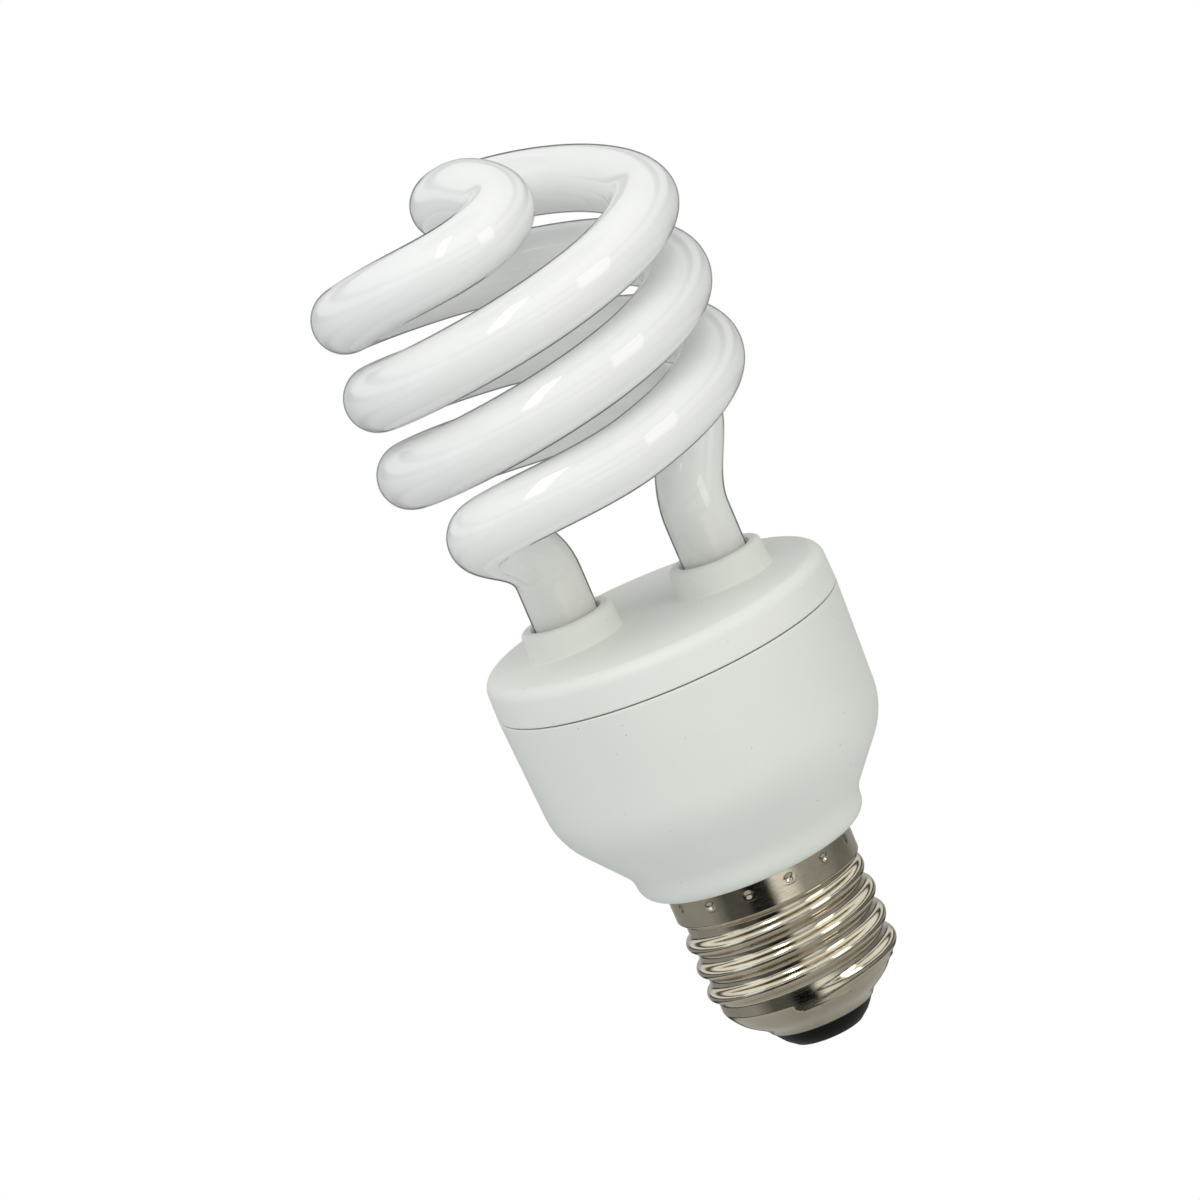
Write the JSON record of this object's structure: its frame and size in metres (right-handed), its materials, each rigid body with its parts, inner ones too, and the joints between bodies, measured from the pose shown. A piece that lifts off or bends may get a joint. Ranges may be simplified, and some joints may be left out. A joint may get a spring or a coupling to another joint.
{
  "type": "compact fluorescent lamp",
  "caption": "Spiral compact fluorescent lamp: a double-helix glass tube on a round white ballast housing with an E27 screw cap.",
  "frame": {"origin": "centre of the centre contact's end face, on the lamp's axis", "axes": "+Z along the lamp's axis from the cap to the spiral, +X from the axis to the right leg as seen in the picture, +Y away from the viewer"},
  "size_m": [0.0512, 0.0518, 0.1269],
  "materials": {
    "phosphor_glass": null,
    "cement": "cream potting cement, matt",
    "cover_plastic": "warm white moulded PBT, fine satin grain",
    "housing_plastic": "white moulded PBT, fine satin grain with tiny specks",
    "nickel_plated_shell": "bright nickel plate on rolled brass sheet",
    "black_glass": "glossy black vitrite glass",
    "solder": "tinned contact disc",
    "board_laminate": "tan paper-phenolic board",
    "can_sleeve": "dark shrink sleeve over an aluminium can",
    "ferrite": "dark grey ferrite",
    "bobbin_nylon": "natural moulded nylon",
    "enamelled_copper": "enamelled copper wire bundle",
    "ferrite_green": "coated ferrite ring",
    "hookup_wire": "enamelled wire turns",
    "epoxy_black": "moulded black epoxy",
    "diac_glass": "small glass-bodied diac",
    "resistor_beige": "lacquered resistor body",
    "resistor_grey": "flame-proof resistor coating",
    "shrink_sleeve": "black sleeve over a drum choke",
    "film_green": "dipped film capacitor",
    "film_brown": "dipped film capacitor",
    "disc_blue": "dipped disc capacitor",
    "tinned_steel": "tinned steel posts",
    "nickel_wire": "nickel lead wire",
    "red_wire": "insulated hook-up wire",
    "black_wire": "insulated hook-up wire"
  },
  "bodies": {
    "root": {"discharge_tube": "phosphor_glass", "tube_cement": "cement", "top_cover": "cover_plastic", "lower_housing": "housing_plastic", "screw_shell": "nickel_plated_shell", "cap_insulator": "black_glass", "centre_contact": "solder", "circuit_board": "board_laminate", "bulk_capacitor": "can_sleeve", "choke_core": "ferrite", "choke_bobbin": "bobbin_nylon", "choke_winding": "enamelled_copper", "toroid_core": "ferrite_green", "toroid_windings": "hookup_wire", "switching_transistors": "epoxy_black", "rectifier_diodes": "epoxy_black", "trigger_diac": "diac_glass", "base_resistors": "resistor_beige", "fusible_resistor": "resistor_grey", "filter_choke": "shrink_sleeve", "start_capacitor": "film_green", "blocking_capacitor": "film_brown", "snubber_capacitor": "disc_blue", "wire_wrap_pins": "tinned_steel", "electrode_leads": "nickel_wire", "shell_lead": "red_wire", "contact_lead": "black_wire"}
  },
  "joints": []
}
